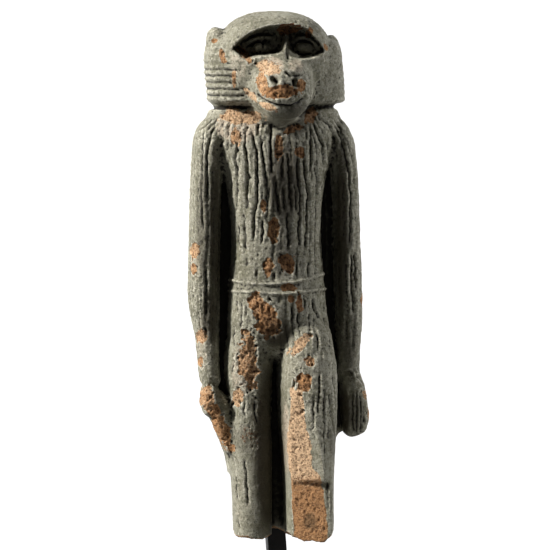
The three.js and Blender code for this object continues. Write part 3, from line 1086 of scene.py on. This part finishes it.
class Carving:
    """The fine relief of the figure, and the masks that its finish reads."""

    hair_spacing = 1.18
    arm_grooves = 16

    def __init__(self, clay: Clay) -> None:
        """Measure the surface that is carved.

        Args:
            clay: the figure, with all its masses joined and cut.
        """
        self.clay = clay
        self.points = clay.points
        self.normals = clay.normals
        self.x, self.y, self.z = self.points.T
        self.u, self.v = SIGHT.picture(self.points)
        facing = self.normals @ np.array(SIGHT.outward)
        self.front = rise(facing, 0.0, 0.25) * rise(self.y, 1.4, 1.0)
        self.depth = (self.points - np.array(SIGHT.target)) @ np.array(SIGHT.outward)
        self.face = rise(self.depth, 2.3, 2.7) * (self.z > 66.6) * rise(self.u, 232, 236)
        self.broad = Grain(3)(self.points, (2.4, 2.4, 7.0), 2)
        self.middling = Grain(4)(self.points, 0.9, 2)
        self.fine = Grain(5)(self.points, 0.42, 2)
        self.finest = Grain(12)(self.points, 0.27)

    @property
    def on_arm(self) -> Array:
        """1 on the arms, 0 on the body."""
        return rise(np.abs(self.x), 8.4, 9.2) * rise(self.z, 66.0, 63.0) * rise(self.y, 3.4, 2.6)

    def body_hair(self) -> Array:
        """Long wavy grooves from the neck to the belt, spreading over the shoulders."""
        fan = Run((60, 1.0), (64, 0.92), (67, 0.72), (69.2, 0.62))(self.z)
        phase = (self.x - 0.3) / (self.hair_spacing * fan) + 0.42 * self.broad
        vary = 0.6 + 0.6 * Grain(6)(self.points, (1.3, 3.0, 5.0))
        ahead = rise(-self.normals[:, 1], -0.1, 0.35)
        zone = band(self.z, 42.1, 67.6, 0.8) * (1 - self.on_arm) * ahead * (1 - self.face)
        drawn = band(self.u, 240, 312, 6)
        return (0.3 - 0.16 * drawn) * strokes(phase) * zone * np.clip(vary, 0.0, 1.2)

    def belly_hair(self) -> Array:
        """Short broken strokes over the hips and down the outside of the thighs."""
        phase = (self.x - 0.2) / 1.1 + 0.5 * self.broad
        patchy = rise(Grain(7)(self.points, (1.2, 3.0, 3.6), 2), -0.25, 0.35)
        ahead = rise(-self.normals[:, 1], 0.0, 0.4)
        thigh = rise(self.z, 13.0, 24.0) * rise(self.z, 39.3, 38.6)
        outer = 0.3 + 0.7 * np.maximum(rise(self.x, 5.5, 7.5), rise(self.z, 28.0, 33.0))
        return 0.15 * strokes(phase, 0.22) * patchy * ahead * thigh * outer * (1 - self.on_arm)

    def leg_hair(self) -> Array:
        """Grooves down the outer side of the forward leg."""
        phase = (self.y - 0.6 * self.x) / 1.15 + 0.4 * self.broad
        side = rise(self.normals[:, 0], 0.1, 0.4) * rise(self.x, 5.5, 6.5)
        return 0.24 * strokes(phase) * side * band(self.z, 3.0, 30.0, 3.0) * rise(self.y, 3.5, 2.0)

    def arm_hair(self) -> Array:
        """Grooves along both arms, fading at the wrists."""
        depth = np.zeros(len(self.x))
        for side in (-1, 1):
            middle = side * 11.2
            turn = np.arctan2(self.y - 0.9, side * (self.x - middle))
            phase = turn * self.arm_grooves / (2 * pi) + 0.35 * self.broad
            here = (side * self.x > 0) * self.on_arm * rise(self.z, 27.0, 34.0)
            vary = np.clip(0.7 + 0.6 * Grain(8)(self.points, (1.5, 1.5, 8.0)), 0.1, 1.2)
            depth += 0.16 * strokes(phase) * here * vary
        return depth

    def mane_ridges(self) -> Array:
        """Level ridges round the mane, worn faint on the viewer's right."""
        inner = Run((44, 222), (60, 232), (70, 238), (85, 238), (98, 248), (108, 254))(self.v)
        left = rise(self.u, inner, inner - 3) * (self.x < 0)
        right = rise(self.u, 322, 328) * (self.x > 0)
        behind = rise(self.y, -2.0, 0.0)
        side = np.maximum(np.maximum(left, right), behind)
        worn = 1 - 0.75 * rise(self.x, 2.0, 8.0) * rise(self.y, 1.0, -1.0)
        phase = (self.z - 69.95) / 1.03 + 0.16 * self.broad
        faint = 0.35 + 0.65 * rise(self.z, 77.0, 74.5)
        vary = 0.8 + 0.3 * self.middling
        return 0.3 * strokes(phase, 0.22) * side * worn * faint * vary * band(self.z, 70.0, 78.6, 0.5)

    def neck(self) -> Array:
        """The deep undercut between mane and shoulders."""
        low = band(self.z, 68.95, 69.25, 0.3)
        return low * (0.75 * rise(-self.x, 4.0, 6.3) + 0.35 * rise(self.x, 4.6, 7.0))

    def belt(self) -> Array:
        """The two raised threads that edge the belt, as a rise."""
        upper = Run((228, 279.5), (250, 283), (270, 284.3), (290, 283), (305, 279.5), (326, 273))(self.u)
        lower = Run((228, 290.5), (256, 292.5), (282, 294), (305, 291.5), (326, 288.5))(self.u)
        thread = np.exp(-(((self.v - upper) / 1.5) ** 2)) + np.exp(-(((self.v - lower) / 1.5) ** 2))
        return 0.28 * thread * (np.abs(self.x - 0.4) < 8.3) * rise(self.y, 1.0, 0.0)

    def lines(self) -> Array:
        """Every single cut line."""
        u = self.u + 0.9 * self.middling + 0.4 * self.fine
        body = sum(line.cut(u, self.v) for line in GROOVES) * (1 - self.face)
        face = sum(line.cut(self.u, self.v) for line in FACE_LINES) * self.face
        return (body * (0.85 + 0.3 * self.broad + 0.2 * self.middling) + face) * self.front

    def shin(self) -> tuple[Array, Array]:
        """How fully each place lies on the broken shin, and the tone of its core there."""
        left = Run((388, 290), (410, 290), (445, 287), (474, 290), (500, 292), (538, 294))(self.v)
        right = Run((390, 302), (410, 304), (425, 306), (445, 311), (467, 312.5), (474, 318),
                    (479, 320.5), (504, 325), (530, 327.6))(self.v)
        ragged = 1.4 * self.middling
        inside = rise(self.u + ragged, left - 0.8, left + 0.8)
        inside = inside * rise(self.u + ragged, right + 0.8, right - 0.8)
        inside = inside * rise(self.v + 2 * ragged, 387, 391) * self.front
        return inside * (self.y < -5), rise(self.v, 470, 492)

    def broken(self) -> tuple[Array, Array, Array]:
        """The places where the glaze is gone.

        Returns:
            How far the core shows (0 to 1), its tone (0 cream to 1 red brown), and the depth
            lost in millimetres, at each point.
        """
        core = np.zeros(len(self.x))
        tone = np.zeros(len(self.x))
        depth = np.zeros(len(self.x))
        ragged = 0.3 * self.middling + 0.22 * self.fine
        for patch in PATCHES:
            share = patch.share(self.u, self.v) + ragged
            here = rise(share, -0.12, 0.3) * patch.strength * self.front
            tone = np.where(here > core, patch.tone, tone)
            depth = np.maximum(depth, rise(share, 0.0, 0.2) * self.front * patch.depth)
            core = np.maximum(core, here)
        shin, shin_tone = self.shin()
        tone = np.where(shin > core, 0.12 + 0.5 * shin_tone, tone)
        core = np.maximum(core, shin)
        under = rise(self.z, 1.9, 1.4) * rise(-self.normals[:, 2], 0.2, 0.5)
        tone = np.where(under > core, 0.4, tone)
        core = np.maximum(core, under)
        return core, tone, depth

    def carve(self) -> None:
        """Cut everything into the surface."""
        core, _, lost = self.broken()
        hair = self.body_hair() + self.belly_hair() + self.leg_hair() + self.arm_hair()
        lowered = hair + self.mane_ridges() + self.neck() + self.lines()
        lowered = lowered * (1 - 0.6 * core) + lost * (1 + 0.8 * self.middling)
        rough = 1 - 0.6 * self.smooth_skin()
        pits = rise(self.fine, 0.35, 0.8) + rise(Grain(11)(self.points, 0.6), 0.45, 0.7)
        lowered += pits * rough * (0.08 + 0.16 * core)
        grit = 0.06 * self.middling + 0.05 * self.fine + 0.055 * self.finest
        raised = self.belt() * (1 - core) + grit * rough + (0.09 * self.fine + 0.06 * self.finest) * core
        self.clay.points = self.points + self.normals * (raised - lowered)[:, None]

    def smooth_skin(self) -> Array:
        """1 where the glaze is even: chin, apron, cleft sides and the lower legs."""
        chin = band(self.u, 262, 304, 4) * band(self.v, 110, 124, 3) * self.face
        legs = rise(self.z, 18.0, 12.0)
        apron = band(self.u, 276, 300, 3) * band(self.v, 298, 345, 4)
        return np.maximum(np.maximum(chin, legs), apron)

    def paint(self) -> None:
        """Store the masks on the finished surface."""
        core, tone, _ = self.broken()
        close = self.clay.spread(self.points, 5)
        far = self.clay.spread(self.points, 120)
        # How far each point lies below its near neighbours: darkened in grooves as dirt and painted shade,
        # made paler on ridges.
        hollow = np.sum((close - self.points) * self.normals, axis=1)
        # How far each point lies below the broadly smoothed surface, used to paint shade into broad recesses.
        deep = np.sum((far - self.points) * self.normals, axis=1)
        self.clay.mark("core", core)
        self.clay.mark("tone", tone)
        self.clay.mark("hollow", hollow)
        self.clay.mark("deep", deep)
        # The painted shade zones, which the finish darkens.
        self.clay.mark("painted_shade", self.zone(PAINTED_SHADE_ZONES))
        # Pale glaze: partly worn glaze, partly painted light on the lit left side.
        self.clay.mark("pale_wear_and_light", self.zone(PALE_WEAR_AND_PAINTED_LIGHT))

    def zone(self, patches: tuple[Patch, ...]) -> Array:
        """The strongest of several soft-edged places at each point of the front."""
        strongest = np.zeros(len(self.x))
        for patch in patches:
            here = rise(patch.share(self.u, self.v), 0.0, 0.6) * patch.strength
            strongest = np.maximum(strongest, here * self.front)
        return strongest


class Figure:
    """The faience figure in one piece."""

    first_skin = 0.28
    fine_skin = 0.17
    most_triangles = 190_000

    def build(self) -> bpy.types.Object:
        """Mass, cut, carve and paint the figure, and set it in its place."""
        masses = [*Trunk().build(), *Head().build(), *Arms().build(), *Legs().build()]
        clay = masses[0]
        clay.join(masses[1:])
        clay.thing.name = "amulet_figure"
        clay.remesh(self.first_skin)
        clay.smooth(0.5, 6)
        self._cut(clay)
        clay.remesh(self.fine_skin)
        clay.smooth(0.5, 3)
        Carving(clay).carve()
        clay.thin(self.most_triangles, 1.0 - 0.8 * Carving(clay).front)
        Carving(clay).paint()
        bpy.ops.object.select_all(action="DESELECT")
        clay.thing.select_set(True)
        bpy.context.view_layer.objects.active = clay.thing
        bpy.ops.object.shade_smooth()
        clay.points = (clay.points + np.array(STAND.figure_place)) * MM
        return clay.thing

    def _cut(self, clay: Clay) -> None:
        """Make the larger hollows and breaks."""
        Face().shape(clay)
        cuts = Cuts()
        points = clay.points
        cuts.shin(points)
        cuts.underside(points, Grain(2))
        clay.points = points


class StandPieces:
    """The bar and the foot."""

    def bar(self) -> bpy.types.Object:
        """The leaning square bar, its long edges slightly rounded."""
        size = STAND
        length = size.bar_in_figure + size.bar_shown / cos(size.lean) + size.bar_in_foot
        clay = Clay.box("display_bar", (size.bar_width, size.bar_width, length))
        self._round_edges(clay, 0.18, 3)
        points = clay.points + np.array((0, 0, size.bar_in_figure - length / 2))
        turn = np.array(Matrix.Rotation(-size.lean, 3, "Y"))
        points = points @ turn.T + np.array((size.bar_x, size.bar_y, 0))
        clay.points = (points + np.array(size.figure_place)) * MM
        return clay.thing

    def foot(self) -> bpy.types.Object:
        """The block, with soft edges and a square hole that the bar stands in."""
        size = STAND
        clay = Clay.box("display_block", (size.foot_width, size.foot_width, size.foot_height))
        self._round_edges(clay, size.foot_bevel, 5)
        clay.points = clay.points + np.array((0, 0, size.foot_height / 2))
        hole = size.bar_width + 2 * size.clearance
        depth = size.bar_in_foot + size.clearance
        cutter = Clay.box("hole", (hole, hole, 2 * depth))
        turn = np.array(Matrix.Rotation(-size.lean, 3, "Y"))
        cutter.points = cutter.points @ turn.T + np.array((0, 0, size.foot_height))
        clay.apply("BOOLEAN", operation="DIFFERENCE", object=cutter.thing, solver="EXACT")
        bpy.data.objects.remove(cutter.thing)
        clay.points = clay.points * MM
        return clay.thing

    def _round_edges(self, clay: Clay, width: float, steps: int) -> None:
        """Bevel every edge."""
        clay.apply("BEVEL", width=width, segments=steps, limit_method="ANGLE")
        bpy.ops.object.shade_smooth_by_angle(angle=radians(40))


class Value:
    """A number in a material, with the usual arithmetic."""

    def __init__(self, paint: "Paint", socket: bpy.types.NodeSocket) -> None:
        """Wrap a socket that gives a number."""
        self.paint = paint
        self.socket = socket

    def _maths(self, operation: str, first: object, second: object) -> "Value":
        """One Math node."""
        node = self.paint.node("ShaderNodeMath", {"operation": operation})
        self.paint.feed(node.inputs[0], first)
        self.paint.feed(node.inputs[1], second)
        return Value(self.paint, node.outputs[0])

    def __add__(self, other: object) -> "Value":
        """self + other."""
        return self._maths("ADD", self, other)

    __radd__ = __add__

    def __sub__(self, other: object) -> "Value":
        """self - other."""
        return self._maths("SUBTRACT", self, other)

    def __rsub__(self, other: object) -> "Value":
        """other - self."""
        return self._maths("SUBTRACT", other, self)

    def __mul__(self, other: object) -> "Value":
        """self * other."""
        return self._maths("MULTIPLY", self, other)

    __rmul__ = __mul__

    def __truediv__(self, other: object) -> "Value":
        """self / other."""
        return self._maths("DIVIDE", self, other)

    def largest(self, other: object) -> "Value":
        """The larger of the two."""
        return self._maths("MAXIMUM", self, other)

    def rise(self, low: float, high: float) -> "Value":
        """0 below low, 1 above high, smooth between them."""
        node = self.paint.node("ShaderNodeMapRange", {"interpolation_type": "SMOOTHSTEP"})
        self.paint.feed(node.inputs["Value"], self)
        node.inputs["From Min"].default_value = low
        node.inputs["From Max"].default_value = high
        return Value(self.paint, node.outputs["Result"])


Colour = tuple[float, float, float]


class Paint:
    """One material, and the few ways that its nodes are made."""

    def __init__(self, name: str) -> None:
        """Start a material with a principled shader.

        Args:
            name: the material's name.
        """
        self.material = bpy.data.materials.new(name)
        self.material.use_nodes = True
        self.tree = self.material.node_tree
        self.shader = self.tree.nodes["Principled BSDF"]
        self.place = self.node("ShaderNodeTexCoord").outputs["Object"]

    def node(self, kind: str, settings: dict | None = None, **inputs: object) -> bpy.types.Node:
        """Add a node.

        Args:
            kind: the node's type.
            settings: properties to set on it first.
            inputs: values or links for its sockets, with _ for a space in a name.

        Returns:
            The new node.
        """
        made = self.tree.nodes.new(kind)
        for name, value in (settings or {}).items():
            setattr(made, name, value)
        for name, value in inputs.items():
            self.feed(made.inputs[name.replace("_", " ")], value)
        return made

    def feed(self, socket: bpy.types.NodeSocket, value: object) -> None:
        """Link a value or a socket into a socket, or set a plain number or colour there."""
        if isinstance(value, Value):
            value = value.socket
        if isinstance(value, bpy.types.NodeSocket):
            self.tree.links.new(value, socket)
        elif isinstance(value, tuple) and len(value) == 3 and socket.type == "RGBA":
            socket.default_value = (*value, 1.0)
        else:
            socket.default_value = value

    def mask(self, name: str) -> Value:
        """One of the numbers stored on the mesh."""
        made = self.node("ShaderNodeAttribute", {"attribute_name": name})
        return Value(self, made.outputs["Fac"])

    def noise(self, size_mm: float, detail: float = 3.0, rough: float = 0.55) -> Value:
        """Noise between 0 and 1 with swells of about that size."""
        made = self.node("ShaderNodeTexNoise", Vector=self.place, Scale=1 / (size_mm * MM),
                         Detail=detail, Roughness=rough)
        return Value(self, made.outputs["Fac"])

    def mix(self, share: object, first: object, second: object) -> bpy.types.NodeSocket:
        """A colour between two, by share."""
        made = self.node("ShaderNodeMix", {"data_type": "RGBA"})
        self.feed(made.inputs["Factor"], share)
        self.feed(made.inputs[6], first)
        self.feed(made.inputs[7], second)
        return made.outputs[2]

    def bump(self, height: Value, depth_mm: float, strength: float = 1.0) -> None:
        """Let a height between 0 and 1 roughen the shader's surface."""
        made = self.node("ShaderNodeBump", Height=height)
        made.inputs["Distance"].default_value = depth_mm * MM
        made.inputs["Strength"].default_value = strength
        self.feed(self.shader.inputs["Normal"], made.outputs["Normal"])

    def dress(self, thing: bpy.types.Object) -> None:
        """Give the material to an object."""
        thing.data.materials.clear()
        thing.data.materials.append(self.material)


@dataclass(frozen=True)
class Faience:
    """Worn grey-green glaze over a cream to brown core, with dirt and painted shade in every hollow, painted
    shade in recesses and under the chin, and ridges and lit places paler with wear and painted light.
    """

    light: Colour = (0.42, 0.41, 0.325)
    middle: Colour = (0.185, 0.180, 0.118)
    speck: Colour = (0.050, 0.043, 0.024)
    ridge_wear_and_highlight: Colour = (0.68, 0.66, 0.55)
    pale: Colour = (0.64, 0.54, 0.42)
    dirt_and_shade: Colour = (0.014, 0.011, 0.005)
    painted_shade: Colour = (0.050, 0.040, 0.019)
    cream: Colour = (0.72, 0.50, 0.31)
    ochre: Colour = (0.46, 0.24, 0.10)
    rust: Colour = (0.15, 0.058, 0.022)
    glaze_roughness: float = 0.5
    core_roughness: float = 0.85

    def build(self) -> Paint:
        """Make the material."""
        paint = Paint("worn_faience")
        broad = paint.noise(5.0, 3.0)
        grit = paint.noise(0.55, 4.0, 0.7)
        fine = paint.noise(0.24, 3.0, 0.65)
        hollow = paint.mask("hollow")
        deep = paint.mask("deep")

        mottle = paint.noise(1.5, 3.0, 0.6)
        shade = broad * 0.45 + mottle * 0.5 + grit * 0.7 + fine * 0.35
        glaze = paint.mix(shade.rise(0.82, 1.14), self.middle, self.light)
        # Pale pinkish glaze: partly worn glaze, partly painted light on the lit left side.
        pale_wear_and_light = paint.mask("pale_wear_and_light") + (grit - 0.5) * 0.9 + (fine - 0.5) * 0.4
        glaze = paint.mix(pale_wear_and_light.rise(0.35, 0.75) * 0.85, glaze, self.pale)
        # Ridges made paler: partly rubbed wear, partly painted highlight.
        glaze = paint.mix((hollow * -1).rise(0.015, 0.07) * grit.rise(0.35, 0.6), glaze, self.ridge_wear_and_highlight)
        glaze = paint.mix(fine.rise(0.55, 0.66) * 0.8, glaze, self.speck)

        tone = paint.mask("tone") + (grit - 0.5) * 1.0 + (fine - 0.5) * 0.6
        core = paint.mix(tone.rise(0.1, 0.6), self.cream, self.ochre)
        core = paint.mix(tone.rise(0.6, 1.1), core, self.rust)
        core = paint.mix(fine.rise(0.53, 0.63) * 0.85, core, self.rust)

        ragged = paint.mask("core") + (grit - 0.5) * 0.8 + (fine - 0.5) * 0.6
        bare = ragged.rise(0.42, 0.56)
        colour = paint.mix(bare, glaze, core)

        # Painted shade: the listed shaded zones are darkened towards near black.
        painted_shade = paint.mask("painted_shade") + (grit - 0.5) * 0.5 + (mottle - 0.5) * 0.5
        colour = paint.mix(painted_shade.rise(0.0, 0.9) * (1 - bare * 0.45) * 0.92, colour, self.painted_shade)
        # Dirt and painted shade in small grooves and creases: darker where the surface lies below its near
        # neighbours.
        groove_dirt_and_shade = (hollow + (grit - 0.5) * 0.06).rise(0.01, 0.075)
        # Painted shade: broad recesses darkened towards near black.
        sunk = (deep + (broad - 0.5) * 0.3).rise(0.3, 1.0)
        colour = paint.mix(groove_dirt_and_shade * (1 - bare * 0.55), colour, self.dirt_and_shade)
        colour = paint.mix(sunk * 0.85, colour, self.dirt_and_shade)

        paint.feed(paint.shader.inputs["Base Color"], colour)
        roughness = bare * (self.core_roughness - self.glaze_roughness) + self.glaze_roughness
        paint.feed(paint.shader.inputs["Roughness"], roughness + (grit - 0.5) * 0.2)
        paint.bump(grit * 0.5 + fine - fine.rise(0.56, 0.66) * 0.6, 0.34, 1.0)
        return paint


@dataclass(frozen=True)
class BlackPaint:
    """Satin black paint with a faint fine texture."""

    colour: Colour = (0.006, 0.006, 0.0065)
    roughness: float = 0.42

    def build(self, name: str) -> Paint:
        """Make the material."""
        paint = Paint(name)
        skin = paint.noise(0.35, 2.0)
        colour = paint.mix(skin.rise(0.3, 0.8) * 0.5, self.colour, (0.016, 0.016, 0.017))
        paint.feed(paint.shader.inputs["Base Color"], colour)
        paint.feed(paint.shader.inputs["Roughness"], skin * 0.12 + self.roughness)
        paint.bump(skin, 0.02, 0.6)
        return paint


@dataclass(frozen=True)
class PalePaper:
    """The plain pale sweep that the part stands on. It glows white from a little way behind on."""

    colour: Colour = (0.5, 0.5, 0.5)
    near_glow: Colour = (0.06, 0.06, 0.06)
    far_glow: Colour = (1.0, 1.0, 1.0)
    glow_from: float = 0.10
    glow_full: float = 0.24

    def build(self) -> Paint:
        """Make the material."""
        paint = Paint("pale_paper")
        shader = paint.shader.inputs
        paint.feed(shader["Base Color"], self.colour)
        shader["Roughness"].default_value = 0.9
        shader["Specular IOR Level"].default_value = 0.1
        parts = paint.node("ShaderNodeSeparateXYZ", Vector=paint.place)
        behind = Value(paint, parts.outputs["Y"]).rise(self.glow_from, self.glow_full)
        paint.feed(shader["Emission Color"], paint.mix(behind, self.near_glow, self.far_glow))
        shader["Emission Strength"].default_value = 1.0
        return paint


@dataclass(frozen=True)
class Lamp:
    """A soft lamp with a narrow cone, by the direction that it shines from."""

    name: str
    azimuth: float
    elevation: float
    power: float
    colour: Colour
    distance: float = 0.7
    radius: float = 0.05
    cone: float = 15.0

    def build(self, aim: Vector) -> None:
        """Hang the lamp so that it points at the aim."""
        flat = cos(radians(self.elevation))
        turn = radians(self.azimuth)
        way = Vector((sin(turn) * flat, -cos(turn) * flat, sin(radians(self.elevation))))
        bpy.ops.object.light_add(type="SPOT", location=aim + way * self.distance)
        lamp = bpy.context.object
        lamp.name = self.name
        lamp.rotation_euler = way.to_track_quat("Z", "Y").to_euler()
        lamp.data.shadow_soft_size = self.radius
        lamp.data.spot_size = radians(self.cone)
        lamp.data.spot_blend = 0.35
        lamp.data.energy = self.power
        lamp.data.color = self.colour


LAMPS = (
    Lamp("key", -86, 34, 40.0, (1.0, 0.96, 0.90)),
    Lamp("side", 86, 24, 10.0, (1.0, 0.98, 0.95)),
    Lamp("front", -9, 40, 0.35, (1.0, 0.98, 0.95)),
)


class Studio:
    """Pale sweep, lamps and camera."""

    def sweep(self) -> bpy.types.Object:
        """A floor that curves up into a wall behind."""
        bpy.ops.object.select_all(action="DESELECT")
        bpy.ops.mesh.primitive_grid_add(x_subdivisions=2, y_subdivisions=48, size=1.0)
        thing = bpy.context.object
        thing.name = "pale_sweep"
        clay = Clay(thing)
        points = clay.points
        across, along = points[:, 0] * 6.0, (points[:, 1] + 0.5) * 5.4
        flat, bend = 2.9, 0.5
        turn = np.clip((along - flat) / bend, 0, pi / 2)
        past = np.maximum(along - flat - bend * pi / 2, 0)
        y = np.minimum(along, flat) + bend * np.sin(turn) - 1.6
        z = bend * (1 - np.cos(turn)) + past
        clay.points = np.stack((across, y, z), axis=1)
        bpy.ops.object.shade_smooth()
        PalePaper().build().dress(thing)
        return thing

    def camera(self) -> None:
        """The camera at the photograph's angle and scale."""
        target = (SIGHT.target + STAND.figure_place) * MM
        place = target + SIGHT.outward * SIGHT.distance * MM
        bpy.ops.object.camera_add(location=place)
        camera = bpy.context.object
        camera.rotation_euler = SIGHT.outward.to_track_quat("Z", "Y").to_euler()
        camera.data.sensor_width = SIGHT.sensor
        camera.data.lens = SIGHT.lens
        camera.data.clip_start = 0.01
        camera.data.clip_end = 20.0
        bpy.context.scene.camera = camera

    def build(self) -> None:
        """Set up everything round the part."""
        self.sweep()
        aim = (SIGHT.target + STAND.figure_place) * MM
        for lamp in LAMPS:
            lamp.build(aim)
        self.camera()
        scene = bpy.context.scene
        scene.world = bpy.data.worlds.new("dim_room")
        scene.world.use_nodes = True
        background = scene.world.node_tree.nodes["Background"]
        background.inputs["Color"].default_value = (1.0, 1.0, 1.0, 1.0)
        background.inputs["Strength"].default_value = 0.008
        scene.view_settings.view_transform = "Standard"


def main() -> None:
    """Build every piece, dress it, and set up the studio."""
    logging.basicConfig(level=logging.INFO, format="%(name)s: %(message)s")
    stand = StandPieces()
    pieces = {
        Node.FIGURE: (Figure().build(), Faience().build(), Slot.FAIENCE),
        Node.BAR: (stand.bar(), BlackPaint().build("bar_paint"), Slot.BAR),
        Node.FOOT: (stand.foot(), BlackPaint().build("foot_paint"), Slot.FOOT),
    }
    for node, (piece, paint, slot) in pieces.items():
        paint.dress(piece)
        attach(piece, "root")
        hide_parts(node.value)
        piece.data.calc_loop_triangles()
        log.info("%s: %d triangles", piece.name, len(piece.data.loop_triangles))
    Studio().build()
    bpy.context.view_layer.update()


if __name__ == "__main__":
    main()
